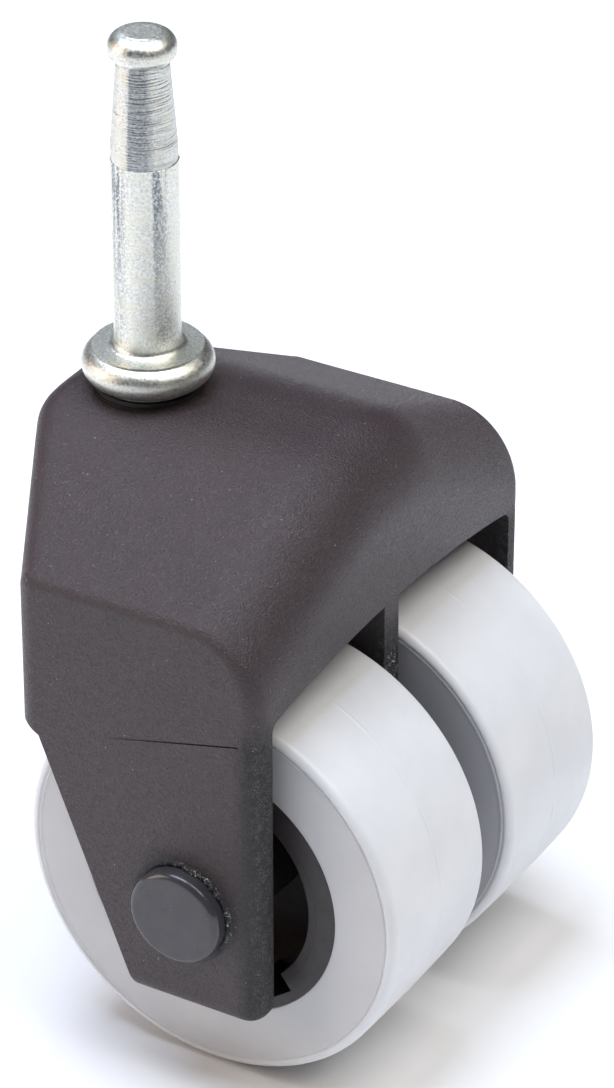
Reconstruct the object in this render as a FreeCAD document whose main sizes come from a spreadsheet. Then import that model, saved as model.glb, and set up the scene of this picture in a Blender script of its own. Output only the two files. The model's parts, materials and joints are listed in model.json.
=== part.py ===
"""Chair caster: two soft wheels under a black hood, on a grip-neck stem.

Frame: the origin is on the stem's axis, in the collar's flat top face, which seats against the
chair. +Z runs up the stem, +X is the trail, from the stem towards the wheels, and Y runs along
the axle. "left" is -Y and "right" is +Y. Lengths are in millimetres.
"""
import FreeCAD, Part
import os
import re
import Sketcher

SIZES = {
    # stem and spindle
    "stem_radius": 3.97,
    "stem_top": 39.8,
    "head_radius": 3.97,
    "head_flat_radius": 2.45,
    "head_arc_radius": 3.52,
    "head_arc_height": 39.23,
    "head_shoulder": 38.1,
    "head_under": 36.9,
    "neck_radius": 3.1,
    "neck_top": 36.3,
    "neck_bottom": 25.8,
    "stem_root_fillet": 0.45,
    "collar_flat_radius": 6.95,
    "collar_radius": 7.85,
    "collar_thickness": 4.5,
    "spindle_bottom": -27.4,
    "groove_radius": 3.3,
    "groove_top": -25.2,
    "groove_width": 1.1,
    "spindle_chamfer": 0.6,
    # spindle bearing
    "snap_ring_radius": 5.5,
    "snap_ring_thickness": 0.9,
    "snap_ring_gap": 2.2,
    "spindle_clearance": 0.06,
    "bush_radius": 5.4,
    "bush_bottom": -24.8,
    "flange_radius": 6.6,
    "flange_thickness": 0.9,
    "thrust_radius": 6.5,
    "thrust_thickness": 0.55,
    # hood
    "hood_top": -5.2,
    "hood_half_width": 30.62,
    "hood_front": 33.3,
    "hood_back": -10.35,
    "back_half_width": 7.75,
    "skirt_back": 1.6,
    "skirt_bottom": -35.0,
    "land_half_width": 8.0,
    "eave": -15.35,
    "leg_top_back": 3.6,
    "leg_top": -36.1,
    "leg_bottom": -67.7,
    "leg_bottom_back": 16.25,
    "wall": 3.0,
    "back_wall_share": 0.25,
    "skirt_wall_share": 0.6,
    "lip_centre": -24.5,
    "lip_side": -26.9,
    "lip_corner_radius": 1.5,
    "bend_radius": 9.2,
    "ridge_radius": 24.0,
    "front_radius": 2.4,
    "crease_radius": 1.8,
    "back_radius": 3.0,
    "back_corner_radius": 9.0,
    "skirt_corner_radius": 2.6,
    "leg_corner_radius": 3.0,
    "web_thickness": 3.25,
    "web_front": 32.9,
    "web_back": -8.0,
    "web_front_bottom": -42.0,
    "web_back_bottom": -33.0,
    "web_boss_radius": 8.5,
    "web_foot_back": 5.1,
    "web_foot_down": 6.8,
    "spindle_boss_radius": 8.0,
    "spindle_boss_bottom": -28.2,
    "boss_mouth_radius": 6.3,
    "cross_rib_thickness": 2.2,
    "cross_rib_bottom": -22.0,
    "cap_seat_radius": 5.25,
    "cap_seat_depth": 1.2,
    "knit_back": 12.4,
    "knit_low": -33.5,
    "knit_length": 18.7,
    "knit_width": 0.18,
    "knit_depth": 0.3,
    # axle and what is on it
    "axle_x": 22.78,
    "axle_z": -53.96,
    "axle_radius": 3.175,
    "axle_half_length": 31.6,
    "axle_chamfer": 0.4,
    "axle_bore_clearance": 0.02,
    "cap_radius": 6.0,
    "cap_proud": 2.25,
    "cap_rim_radius": 0.7,
    "cap_roof": 0.95,
    "cap_wall": 0.7,
    "retainer_radius": 4.3,
    "retainer_thickness": 0.45,
    "retainer_slot": 0.8,
    "washer_radius": 6.4,
    "washer_bore_clearance": 0.1,
    "washer_thickness": 1.3,
    # wheels
    "wheel_inner_face": 3.15,
    "wheel_outer_face": 24.6,
    "tread_radius": 25.0,
    "tread_edge_radius": 24.85,
    "shoulder_radius": 23.64,
    "shoulder_width": 1.07,
    "shoulder_bulge": 0.18,
    "tyre_bore": 16.83,
    "lock_rib_radius": 19.2,
    "lock_rib_root": 2.6,
    "lock_rib_crest": 1.9,
    "cover_radius": 14.28,
    "recess_radius": 13.3,
    "cover_depth": 11.5,
    "cover_floor": 1.1,
    "face_step": 0.25,
    "core_web_thickness": 2.8,
    "key_width": 4.4,
    "key_radius": 15.5,
    "key_depth": 6.0,
    "hub_radius": 6.2,
    "wheel_bush_radius": 4.5,
    "wheel_bush_clearance": 0.07,
    "hub_end_gap": 0.1,
    # general
    "fit_gap": 0.02,
    "overrun": 5.0,
}

SIDES = {"left": -1, "right": 1}
# Where each wheel's keyway stands at rest, in degrees about the axle.
KEY_ANGLE = -54
# How steeply the seam on each leg rises towards the front, in degrees.
KNIT_RISE = 13.8
# How deep in its corner the middle of a quarter round lies, as a share of its radius.
QUARTER_ROUND = 0.293
# How far apart two lengths may be and still count as the same, in millimetres.
SAME = 1e-3
# How far below the eave an edge of the hood's rim may lie, in millimetres.
RIM_REACH = 0.4

doc = FreeCAD.newDocument("Caster")
sheet = doc.addObject("Spreadsheet::Sheet", "Sizes")
for row, (alias, value) in enumerate(SIZES.items(), start=1):
    sheet.set(f"A{row}", alias)
    sheet.set(f"B{row}", str(value))
    sheet.setAlias(f"B{row}", alias)
doc.recompute()

NODES = {}


def bind(expression):
    """The expression with each size's alias written as a reference to the sheet."""
    return re.sub(
        r"[a-z][a-z_]*",
        lambda word: f"Sizes.{word.group(0)}" if word.group(0) in SIZES else word.group(0),
        str(expression),
    )


def value_of(expression):
    """The number that an expression in the sheet's aliases gives, in millimetres."""
    return float(sheet.evalExpression(bind(expression)))


def keep(node, feature):
    """Name a finished feature as one of the caster's nodes."""
    feature.Label = node
    NODES[node] = feature


def new_body(name):
    return doc.addObject("PartDesign::Body", name)


def outline(body, name, role, *loops, offset="0"):
    """A sketch of closed loops on one of the body's origin planes, moved along its normal.

    A loop is a list of points. Each point is a pair of expressions for the end of an edge. A
    third member makes the edge that arrives there an arc, through the pair that it holds.
    """
    sketch = body.newObject("Sketcher::SketchObject", name)
    plane = next(item for item in body.Origin.OriginFeatures if item.Role == role)
    sketch.AttachmentSupport = (plane, [""])
    sketch.MapMode = "FlatFace"
    sketch.setExpression("AttachmentOffset.Base.z", bind(offset))
    for points in loops:
        draw_loop(sketch, points)
    return sketch


def spot(pair):
    """The point of a sketch that a pair of expressions gives."""
    return FreeCAD.Vector(value_of(pair[0]), value_of(pair[1]), 0)


def draw_loop(sketch, points):
    """Draw a closed loop and hold each of its points at the point's expressions."""
    places = [spot(point) for point in points]
    edges = []
    for index, point in enumerate(points):
        start = places[index - 1]
        if len(point) == 2:
            edge = Part.LineSegment(start, places[index])
        else:
            edge = Part.Arc(start, spot(point[2]), places[index])
        number = sketch.addGeometry(edge, False)
        forward = (sketch.Geometry[number].StartPoint - start).Length < SAME
        edges.append((number, 1, 2) if forward else (number, 2, 1))
    for index, (number, first, last) in enumerate(edges):
        before, _, before_last = edges[index - 1]
        sketch.addConstraint(Sketcher.Constraint("Coincident", before, before_last, number, first))
        pin(sketch, number, last, points[index])
        if len(points[index]) == 3:
            middle = sketch.addGeometry(Part.Point(spot(points[index][2])), True)
            sketch.addConstraint(Sketcher.Constraint("PointOnObject", middle, 1, number))
            pin(sketch, middle, 1, points[index][2])


def pin(sketch, geometry, vertex, expressions):
    """Hold a vertex at two expressions, measured from the sketch's origin."""
    for kind, expression in zip(("DistanceX", "DistanceY"), expressions[:2]):
        number = sketch.addConstraint(
            Sketcher.Constraint(kind, -1, 1, geometry, vertex, value_of(expression))
        )
        sketch.setExpression(f"Constraints[{number}]", bind(expression))


def mirrored(points):
    """The same loop on the other side of the sketch's vertical axis."""
    return [(f"-({point[0]})",) + tuple(point[1:]) for point in points]


def pad(body, name, sketch, length, symmetric=False, backwards=False):
    feature = body.newObject("PartDesign::Pad", name)
    feature.Profile = sketch
    feature.setExpression("Length", bind(length))
    if symmetric:
        feature.SideType = "Symmetric"
    feature.Reversed = backwards
    doc.recompute()
    return feature


def pocket_through(body, name, sketch):
    """Cut a sketch right through the body, both ways."""
    before = body.Shape.Volume
    feature = body.newObject("PartDesign::Pocket", name)
    feature.Profile = sketch
    feature.Type = "ThroughAll"
    feature.SideType = "Symmetric"
    doc.recompute()
    if feature.Shape.Volume > before - SAME:
        raise RuntimeError(f"{name} cuts nothing")
    return feature


def turned(name, points):
    """A body turned about its own Z axis, from an outline in radius and height."""
    body = new_body(name)
    sketch = outline(body, f"{name}_outline", "XZ_Plane", points)
    feature = body.newObject("PartDesign::Revolution", f"{name}_turned")
    feature.Profile = sketch
    feature.ReferenceAxis = (sketch, ["V_Axis"])
    feature.Angle = 360
    doc.recompute()
    return body


def round_edges(body, name, radius, wanted):
    """Fillet each edge of the body's tip for which wanted(edge) is true."""
    tip = body.Tip
    names = [
        f"Edge{number}" for number, edge in enumerate(tip.Shape.Edges, start=1) if wanted(edge)
    ]
    if not names:
        raise RuntimeError(f"{name} finds no edge")
    feature = body.newObject("PartDesign::Fillet", name)
    feature.Base = (tip, names)
    feature.setExpression("Radius", bind(radius))
    doc.recompute()
    return feature


def place_on_axle(body, side):
    """Turn a body's own Z axis outwards along the axle, on the side of the given sign."""
    body.Placement.Rotation = FreeCAD.Rotation(FreeCAD.Vector(1, 0, 0), -90 * side)
    body.setExpression("Placement.Base.x", bind("axle_x"))
    body.setExpression("Placement.Base.z", bind("axle_z"))
    doc.recompute()


def cylinder(name, radius, low, height):
    """A cylinder about the stem's axis, from the height low upwards."""
    feature = doc.addObject("Part::Cylinder", name)
    feature.setExpression("Radius", bind(radius))
    feature.setExpression("Height", bind(height))
    feature.setExpression("Placement.Base.z", bind(low))
    return feature


def axle_cylinder(name, radius, low, height):
    """A cylinder about the axle, from y = low to y = low + height."""
    feature = doc.addObject("Part::Cylinder", name)
    feature.setExpression("Radius", bind(radius))
    feature.setExpression("Height", bind(height))
    feature.Placement.Rotation = FreeCAD.Rotation(FreeCAD.Vector(1, 0, 0), -90)
    feature.setExpression("Placement.Base.x", bind("axle_x"))
    feature.setExpression("Placement.Base.y", bind(low))
    feature.setExpression("Placement.Base.z", bind("axle_z"))
    return feature


def cut(name, base, tool):
    feature = doc.addObject("Part::Cut", name)
    feature.Base = base
    feature.Tool = tool
    return feature


def fuse(name, shapes):
    feature = doc.addObject("Part::MultiFuse", name)
    feature.Shapes = shapes
    return feature


def common(name, shapes):
    feature = doc.addObject("Part::MultiCommon", name)
    feature.Shapes = shapes
    return feature


# ---------------------------------------------------------------- stem and swivel bearing

def make_stem():
    """Round head, tapered neck, shank and collar, with the spindle below the collar."""
    body = turned("stem_body", [
        ("0", "spindle_bottom"),
        ("stem_radius - spindle_chamfer", "spindle_bottom"),
        ("stem_radius", "spindle_bottom + spindle_chamfer"),
        ("stem_radius", "groove_top - groove_width"),
        ("groove_radius", "groove_top - groove_width"),
        ("groove_radius", "groove_top"),
        ("stem_radius", "groove_top"),
        ("stem_radius", "-collar_thickness"),
        ("collar_flat_radius", "-collar_thickness"),
        ("collar_flat_radius", "0", ("collar_radius", "-collar_thickness / 2")),
        ("stem_radius", "0"),
        ("stem_radius", "neck_bottom"),
        ("neck_radius", "neck_top"),
        ("head_radius", "head_under"),
        ("head_radius", "head_shoulder"),
        ("head_flat_radius", "stem_top", ("head_arc_radius", "head_arc_height")),
        ("0", "stem_top"),
    ])
    root_radius = value_of("stem_radius")

    def at_root(edge):
        return (
            abs(edge.BoundBox.ZMin) < SAME
            and abs(edge.BoundBox.ZMax) < SAME
            and abs(edge.BoundBox.XMax - root_radius) < SAME
        )

    round_edges(body, "stem_root", "stem_root_fillet", at_root)
    neck_top = value_of("neck_top")
    round_edges(body, "head_blend", "head_under - neck_top", lambda edge: (
        abs(edge.BoundBox.ZMax - neck_top) < SAME and abs(edge.BoundBox.ZMin - neck_top) < SAME
    ))
    keep("stem", body)


def make_snap_ring():
    """Open ring that sits in the spindle's groove, under the bush."""
    ring_top = "groove_top - (groove_width - snap_ring_thickness) / 2"
    low = f"{ring_top} - snap_ring_thickness"
    outer = cylinder("snap_ring_outer", "snap_ring_radius", low, "snap_ring_thickness")
    inner = cylinder("snap_ring_inner", "groove_radius + fit_gap", low, "snap_ring_thickness")
    slot = doc.addObject("Part::Box", "snap_ring_slot")
    slot.setExpression("Length", bind("snap_ring_radius * 2"))
    slot.setExpression("Width", bind("snap_ring_gap"))
    slot.setExpression("Height", bind("snap_ring_thickness"))
    slot.setExpression("Placement.Base.y", bind("-snap_ring_gap / 2"))
    slot.setExpression("Placement.Base.z", bind(low))
    whole = cut("snap_ring_whole", outer, inner)
    keep("spindle_retaining_ring", cut("snap_ring_open", whole, slot))


def make_spindle_bush():
    """Flanged sleeve, pressed in the hood's boss, in which the spindle turns."""
    bore = "stem_radius + spindle_clearance"
    keep("spindle_bush", turned("spindle_bush_body", [
        (bore, "bush_bottom"),
        ("bush_radius", "bush_bottom"),
        ("bush_radius", "hood_top - flange_thickness"),
        ("flange_radius", "hood_top - flange_thickness"),
        ("flange_radius", "hood_top"),
        (bore, "hood_top"),
    ]))


def make_thrust_washer():
    """Flat ring between the collar and the hood."""
    low = "hood_top + fit_gap"
    inner = "stem_radius + washer_bore_clearance"
    outer_disc = cylinder("thrust_outer", "thrust_radius", low, "thrust_thickness")
    bore = cylinder("thrust_bore", inner, low, "thrust_thickness")
    keep("thrust_washer", cut("thrust_ring", outer_disc, bore))


# ---------------------------------------------------------------- hood

def straight_along(edge, axis):
    """Whether an edge is straight and runs along the named axis."""
    box = edge.BoundBox
    spans = {"x": box.XLength, "y": box.YLength, "z": box.ZLength}
    others = [span for key, span in spans.items() if key != axis]
    return spans[axis] > SAME and max(others) < SAME


def hood_form(name, inset, bottom):
    """The hood's solid form under its gabled roof, with every face moved in by inset."""
    body = new_body(name)
    plan = outline(body, f"{name}_plan", "XY_Plane", [
        (f"hood_back + {inset}", f"-(back_half_width - {inset} * back_wall_share)"),
        (f"skirt_back + {inset} * skirt_wall_share", f"-(hood_half_width - {inset})"),
        (f"hood_front - {inset}", f"-(hood_half_width - {inset})"),
        (f"hood_front - {inset}", f"hood_half_width - {inset}"),
        (f"skirt_back + {inset} * skirt_wall_share", f"hood_half_width - {inset}"),
        (f"hood_back + {inset}", f"back_half_width - {inset} * back_wall_share"),
    ], offset=f"hood_top - {inset}")
    pad(body, f"{name}_walls", plan, f"hood_top - {inset} - ({bottom})", backwards=True)
    over_roof = [
        ("land_half_width", f"hood_top - {inset}"),
        ("hood_half_width", f"eave - {inset}"),
        ("hood_half_width", f"hood_top - {inset} + overrun"),
        ("land_half_width", f"hood_top - {inset} + overrun"),
    ]
    roof = outline(body, f"{name}_gable", "YZ_Plane", over_roof, mirrored(over_roof))
    pocket_through(body, f"{name}_roof", roof)
    return body


def soften_roof(body, name, inset):
    """Blend the roof's two ridges, and bend the roof over into the front wall."""
    top = value_of(f"hood_top - {inset}")
    front = value_of(f"hood_front - {inset}")
    land = value_of("land_half_width")
    round_edges(body, f"{name}_ridges", "ridge_radius", lambda edge: (
        straight_along(edge, "x")
        and abs(edge.BoundBox.ZMax - top) < SAME
        and abs(abs(edge.BoundBox.YMax) - land) < SAME
    ))
    eave = value_of(f"eave - {inset}")
    round_edges(body, f"{name}_bend", f"bend_radius - {inset}", lambda edge: (
        abs(edge.BoundBox.XMin - front) < SAME
        and edge.BoundBox.ZMin > eave - SAME
        and edge.BoundBox.YLength > SAME
    ))


def make_hood_outer():
    body = hood_form("hood_outer", "0", "leg_bottom")
    behind_leg = outline(body, "behind_leg", "XZ_Plane", [
        ("hood_back - overrun", "skirt_bottom"),
        ("skirt_back", "skirt_bottom"),
        ("leg_top_back", "leg_top"),
        ("leg_bottom_back", "leg_bottom"),
        ("leg_bottom_back", "leg_bottom - overrun"),
        ("hood_back - overrun", "leg_bottom - overrun"),
    ])
    pocket_through(body, "leg_back", behind_leg)
    soften_roof(body, "hood_outer", "0")
    back = value_of("hood_back")
    front = value_of("hood_front")
    leg_bottom = value_of("leg_bottom")
    round_edges(body, "back_corners", "back_corner_radius", lambda edge: (
        straight_along(edge, "z") and abs(edge.BoundBox.XMin - back) < SAME
    ))
    skirt_back = value_of("skirt_back")
    round_edges(body, "skirt_corners", "skirt_corner_radius", lambda edge: (
        straight_along(edge, "z") and abs(edge.BoundBox.XMin - skirt_back) < SAME
    ))
    round_edges(body, "leg_toes", "leg_corner_radius", lambda edge: (
        straight_along(edge, "y")
        and abs(edge.BoundBox.ZMin - leg_bottom) < SAME
        and abs(edge.BoundBox.XMin - front) < SAME
    ))
    return round_rim(body)


def rim_radius(point):
    """Radius of the hood's outer rim: large at the back, small along the eaves."""
    if abs(abs(point.y) - value_of("hood_half_width")) > SAME:
        return value_of("back_radius")
    if point.x > value_of("hood_front - wall") or point.z < value_of("lip_side"):
        return value_of("front_radius")
    return value_of("crease_radius")


def on_rim(points):
    """Whether an edge, given by three of its points, is on the roof's or a side's outer rim."""
    half_width = value_of("hood_half_width")
    eave = value_of("eave")
    middle = points[1]
    if all(abs(abs(point.y) - half_width) < SAME for point in points):
        at_front = middle.x > value_of("hood_front - wall")
        under_leg = middle.z < value_of("leg_bottom + wall")
        on_toe = under_leg and middle.x > value_of("leg_bottom_back")
        return middle.z > eave - RIM_REACH or at_front or on_toe
    back = value_of("hood_back")
    back_half_width = value_of("back_half_width")
    slope = (value_of("skirt_back") - back) / (half_width - back_half_width)
    walls = [max(back, back + (abs(point.y) - back_half_width) * slope) for point in points]
    from_wall = max(abs(point.x - wall) for point, wall in zip(points, walls))
    return middle.z > eave - RIM_REACH and from_wall < value_of("skirt_corner_radius")


def round_rim(body):
    """Round the outer rim as one run of edges, whose radius changes from back to front."""
    edges = []
    for number, edge in enumerate(body.Shape.Edges, start=1):
        first, last = edge.ParameterRange
        points = [edge.valueAt(first + (last - first) * part) for part in (0, 0.5, 1)]
        if straight_along(edge, "z") and points[1].x < value_of("axle_x"):
            continue
        if on_rim(points):
            edges.append((number, rim_radius(points[0]), rim_radius(points[2])))
    rim = doc.addObject("Part::Fillet", "hood_rim")
    rim.Base = body
    rim.Edges = edges
    doc.recompute()
    return rim


def make_hood_cavity():
    """Space inside the hood: its form moved in by the wall, and the open mouth at the front."""
    body = hood_form("hood_cavity", "wall", "leg_bottom - overrun")
    soften_roof(body, "hood_cavity", "wall")
    mouth = new_body("hood_mouth")
    arch = outline(mouth, "mouth_arch", "YZ_Plane", [
        ("hood_half_width - wall", "leg_bottom - overrun"),
        ("hood_half_width - wall", "lip_side"),
        ("-(hood_half_width - wall)", "lip_side", ("0", "lip_centre")),
        ("-(hood_half_width - wall)", "leg_bottom - overrun"),
    ], offset="axle_x")
    pad(mouth, "mouth_pad", arch, "hood_front - axle_x + overrun")
    lip_side = value_of("lip_side")
    round_edges(mouth, "lip_corners", "lip_corner_radius", lambda edge: (
        straight_along(edge, "x") and abs(edge.BoundBox.ZMax - lip_side) < SAME
    ))
    return [body, mouth]


def make_hood_ribs(outer):
    """Centre web with its axle boss, the spindle's boss and the rib across it."""
    web = new_body("centre_web")
    web_side = outline(web, "web_side", "XZ_Plane", [
        ("web_back", "hood_top"),
        ("web_front", "hood_top"),
        ("web_front", "web_front_bottom"),
        ("axle_x + web_boss_radius", "axle_z"),
        ("axle_x - web_foot_back", "axle_z - web_foot_down"),
        ("web_back", "web_back_bottom"),
    ])
    pad(web, "web_pad", web_side, "web_thickness", symmetric=True)
    web_boss = axle_cylinder("web_boss", "web_boss_radius", "-web_thickness / 2", "web_thickness")
    spindle_boss = cylinder(
        "spindle_boss", "spindle_boss_radius", "spindle_boss_bottom", "-spindle_boss_bottom"
    )
    cross_rib = doc.addObject("Part::Box", "cross_rib")
    cross_rib.setExpression("Length", bind("cross_rib_thickness"))
    cross_rib.setExpression("Width", bind("2 * hood_half_width"))
    cross_rib.setExpression("Height", bind("-cross_rib_bottom"))
    cross_rib.setExpression("Placement.Base.x", bind("-cross_rib_thickness / 2"))
    cross_rib.setExpression("Placement.Base.y", bind("-hood_half_width"))
    cross_rib.setExpression("Placement.Base.z", bind("cross_rib_bottom"))
    together = fuse("ribs_together", [web, web_boss, spindle_boss, cross_rib])
    return common("ribs_inside", [together, outer])


def make_hood_bores():
    """Stepped bore for the spindle's bush, the axle's bore and the seats for the caps."""
    bores = [
        cylinder("bush_bore", "bush_radius + fit_gap", "bush_bottom", "-bush_bottom"),
        cylinder(
            "flange_seat", "flange_radius + fit_gap", "hood_top - flange_thickness - fit_gap",
            "overrun",
        ),
        cylinder(
            "ring_chamber", "boss_mouth_radius", "spindle_boss_bottom - overrun",
            "bush_bottom - spindle_boss_bottom + overrun",
        ),
        axle_cylinder(
            "axle_bore", "axle_radius + axle_bore_clearance", "-hood_half_width",
            "2 * hood_half_width",
        ),
    ]
    for name, side in SIDES.items():
        half = "(cap_seat_depth + overrun) / 2"
        low = f"{side} * (hood_half_width - cap_seat_depth + {half}) - {half}"
        bores.append(axle_cylinder(f"cap_seat_{name}", "cap_seat_radius", low, f"2 * {half}"))
    return bores


def make_knit_line(name, side):
    """Seam across a leg, where the plastic met as it filled the mould: deepest at the front."""
    body = new_body(f"knit_line_{name}")
    plan = outline(body, f"knit_plan_{name}", "XY_Plane", [
        ("0", f"{side} * hood_half_width"),
        ("knit_length", f"{side} * (hood_half_width - knit_depth)"),
        ("knit_length", f"{side} * (hood_half_width + overrun)"),
        ("0", f"{side} * (hood_half_width + overrun)"),
    ])
    pad(body, f"knit_pad_{name}", plan, "knit_width", symmetric=True)
    body.Placement.Rotation = FreeCAD.Rotation(FreeCAD.Vector(0, 1, 0), -KNIT_RISE)
    body.setExpression("Placement.Base.x", bind("knit_back"))
    body.setExpression("Placement.Base.z", bind("knit_low"))
    doc.recompute()
    return body


def make_hood():
    """One moulding: roof, skirt, front wall, two legs, centre web and bosses."""
    outer = make_hood_outer()
    space = fuse("hood_space", make_hood_cavity())
    shell = cut("hood_shell", outer, space)
    solid = fuse("hood_solid", [shell, make_hood_ribs(outer)])
    knit_lines = [make_knit_line(name, side) for name, side in SIDES.items()]
    keep("hood", cut("hood_bored", solid, fuse("hood_cuts", make_hood_bores() + knit_lines)))


# ---------------------------------------------------------------- axle

def make_axle():
    """Plain pin through both legs, both wheels and the web."""
    body = turned("axle_body", [
        ("0", "-axle_half_length"),
        ("axle_radius - axle_chamfer", "-axle_half_length"),
        ("axle_radius", "-axle_half_length + axle_chamfer"),
        ("axle_radius", "axle_half_length - axle_chamfer"),
        ("axle_radius - axle_chamfer", "axle_half_length"),
        ("0", "axle_half_length"),
    ])
    place_on_axle(body, 1)
    keep("axle", body)


def make_axle_cap(name, side):
    """Smooth cap over the axle's end, with a skirt that snaps into its seat in the leg."""
    face = "hood_half_width + fit_gap"
    skirt = "cap_seat_radius - fit_gap"
    foot = "hood_half_width - cap_seat_depth + retainer_thickness + hub_end_gap"
    body = turned(f"axle_cap_{name}_body", [
        (f"{skirt} - cap_wall", foot),
        (skirt, foot),
        (skirt, face),
        ("cap_radius", face),
        ("cap_radius", "hood_half_width + cap_proud - cap_rim_radius"),
        ("cap_radius - cap_rim_radius", "hood_half_width + cap_proud", (
            f"cap_radius - cap_rim_radius * {QUARTER_ROUND}",
            f"hood_half_width + cap_proud - cap_rim_radius * {QUARTER_ROUND}",
        )),
        ("0", "hood_half_width + cap_proud"),
        ("0", "hood_half_width + cap_proud - cap_roof"),
        (f"{skirt} - cap_wall", "hood_half_width + cap_proud - cap_roof"),
    ])
    place_on_axle(body, side)
    keep(f"axle_cap_{name}", body)


def make_axle_retainer(name, side):
    """Push-on star ring that grips the axle at the bottom of the cap's seat."""
    low = "hood_half_width - cap_seat_depth + fit_gap"
    high = f"{low} + retainer_thickness"
    body = turned(f"axle_retainer_{name}_body", [
        ("axle_radius + fit_gap", low),
        ("retainer_radius", low),
        ("retainer_radius", high),
        ("axle_radius + fit_gap", high),
    ])
    slot = outline(body, f"retainer_slot_{name}", "XY_Plane", [
        ("0", "-retainer_slot / 2"),
        ("axle_radius + retainer_slot", "-retainer_slot / 2"),
        ("axle_radius + retainer_slot", "retainer_slot / 2"),
        ("0", "retainer_slot / 2"),
    ], offset=low)
    teeth = pocket_through(body, f"retainer_gap_{name}", slot)
    pattern = body.newObject("PartDesign::PolarPattern", f"retainer_gaps_{name}")
    pattern.Originals = [teeth]
    pattern.Axis = (slot, ["N_Axis"])
    pattern.Angle = 360
    pattern.Occurrences = 5
    body.Tip = pattern
    place_on_axle(body, side)
    keep(f"axle_retainer_{name}", body)


def make_washer(node, low, side):
    """Flat spacer on the axle, from the distance low outwards."""
    bore = "axle_radius + washer_bore_clearance"
    body = turned(f"{node}_body", [
        (bore, low),
        ("washer_radius", low),
        ("washer_radius", f"{low} + washer_thickness"),
        (bore, f"{low} + washer_thickness"),
    ])
    place_on_axle(body, side)
    keep(node, body)


# ---------------------------------------------------------------- wheels

def make_tyre(name, side):
    """Soft tread ring with a crowned face, locked on the core by a rib."""
    body = turned(f"tyre_{name}_body", [
        ("tyre_bore", "wheel_inner_face"),
        ("shoulder_radius", "wheel_inner_face"),
        ("tread_edge_radius", "wheel_inner_face + shoulder_width", (
            "(shoulder_radius + tread_edge_radius) / 2 + shoulder_bulge",
            "wheel_inner_face + shoulder_width / 2 - shoulder_bulge",
        )),
        ("tread_edge_radius", "wheel_outer_face - shoulder_width", (
            "tread_radius",
            "(wheel_inner_face + wheel_outer_face) / 2",
        )),
        ("shoulder_radius", "wheel_outer_face", (
            "(shoulder_radius + tread_edge_radius) / 2 + shoulder_bulge",
            "wheel_outer_face - shoulder_width / 2 + shoulder_bulge",
        )),
        ("tyre_bore", "wheel_outer_face"),
        ("tyre_bore", "(wheel_inner_face + wheel_outer_face) / 2 + lock_rib_root"),
        ("lock_rib_radius", "(wheel_inner_face + wheel_outer_face) / 2 + lock_rib_crest"),
        ("lock_rib_radius", "(wheel_inner_face + wheel_outer_face) / 2 - lock_rib_crest"),
        ("tyre_bore", "(wheel_inner_face + wheel_outer_face) / 2 - lock_rib_root"),
    ])
    place_on_axle(body, side)
    keep(f"tyre_{name}", body)


def cut_keyway(body, name):
    """Cut the keyway, which runs from the recess out into the core's face."""
    before = body.Shape.Volume
    key = outline(body, f"{body.Name}_key_{name}", "XY_Plane", [
        ("recess_radius - key_depth / 2", "-key_width / 2"),
        ("key_radius", "-key_width / 2"),
        ("key_radius", "key_width / 2"),
        ("recess_radius - key_depth / 2", "key_width / 2"),
    ], offset="wheel_outer_face - key_depth")
    slot = body.newObject("PartDesign::Pocket", f"{body.Name}_keyway_{name}")
    slot.Profile = key
    slot.Reversed = True
    slot.setExpression("Length", bind("key_depth"))
    doc.recompute()
    if body.Shape.Volume > before - SAME:
        raise RuntimeError(f"{slot.Name} cuts nothing")


def turn_to_keyway(body):
    """Turn a placed body about its own axis, to where the keyway stands at rest."""
    body.Placement.Rotation = body.Placement.Rotation.multiply(
        FreeCAD.Rotation(FreeCAD.Vector(0, 0, 1), KEY_ANGLE)
    )


def make_wheel_core(name, side):
    """Hard wheel centre: rim with its lock rib, disc, and hub sleeve."""
    rim = "tyre_bore - fit_gap"
    crest = "lock_rib_radius - fit_gap"
    bore = "wheel_bush_radius + fit_gap"
    cover = "cover_radius + fit_gap"
    middle = "(wheel_inner_face + wheel_outer_face) / 2"
    hub_low = "web_thickness / 2 + washer_thickness + 2 * hub_end_gap"
    hub_high = "hood_half_width - wall - washer_thickness - 2 * hub_end_gap"
    floor = "wheel_outer_face - cover_depth - fit_gap"
    body = turned(f"wheel_core_{name}_body", [
        (bore, hub_low),
        ("hub_radius", hub_low),
        ("hub_radius", f"{floor} - core_web_thickness"),
        ("cover_radius", f"{floor} - core_web_thickness"),
        ("cover_radius", "wheel_inner_face + face_step"),
        (rim, "wheel_inner_face + face_step"),
        (rim, f"{middle} - lock_rib_root"),
        (crest, f"{middle} - lock_rib_crest"),
        (crest, f"{middle} + lock_rib_crest"),
        (rim, f"{middle} + lock_rib_root"),
        (rim, "wheel_outer_face - face_step"),
        (cover, "wheel_outer_face - face_step"),
        (cover, floor),
        ("hub_radius", floor),
        ("hub_radius", hub_high),
        (bore, hub_high),
    ])
    cut_keyway(body, name)
    place_on_axle(body, side)
    turn_to_keyway(body)
    keep(f"wheel_core_{name}", body)


def make_hub_cover(name, side):
    """Cup pressed in the core's outer side, which lines the recess round the hub."""
    sleeve = "hub_radius + washer_bore_clearance"
    bottom = "wheel_outer_face - cover_depth"
    body = turned(f"hub_cover_{name}_body", [
        (sleeve, bottom),
        ("cover_radius", bottom),
        ("cover_radius", "wheel_outer_face - face_step"),
        ("recess_radius", "wheel_outer_face - face_step"),
        ("recess_radius", f"{bottom} + cover_floor"),
        (sleeve, f"{bottom} + cover_floor"),
    ])
    cut_keyway(body, name)
    place_on_axle(body, side)
    turn_to_keyway(body)
    keep(f"hub_cover_{name}", body)


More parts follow.
